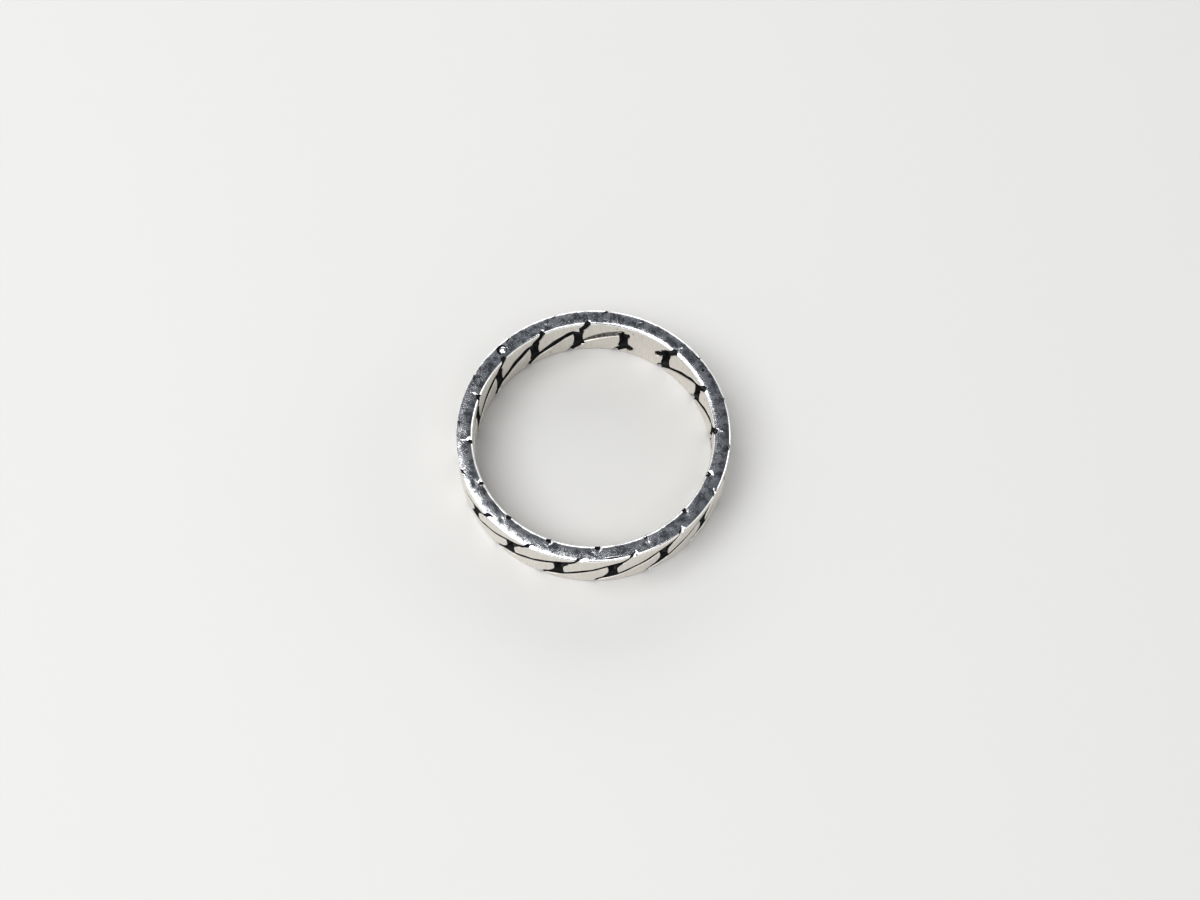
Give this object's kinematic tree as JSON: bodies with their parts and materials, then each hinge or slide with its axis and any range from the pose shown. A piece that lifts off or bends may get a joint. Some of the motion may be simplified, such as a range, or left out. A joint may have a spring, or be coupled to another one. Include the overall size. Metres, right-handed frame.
{
  "type": "finger ring",
  "caption": "Finger ring made of a flat-filed curb chain soldered into a stiff band, with pierced gaps and dark grooves between the links.",
  "frame": {"origin": "centre of the finger hole, on the plane of the side that the ring rests on", "axes": "+Z along the finger axis, up from the side that it rests on; +X and +Y across the ring, with the plain soldered junction about 64 degrees round from +X towards +Y"},
  "size_m": [0.022, 0.022, 0.0046],
  "materials": {
    "silver": "filed and worn silver, black in the grooves"
  },
  "bodies": {
    "root": {"curb_band": "silver"}
  },
  "joints": []
}
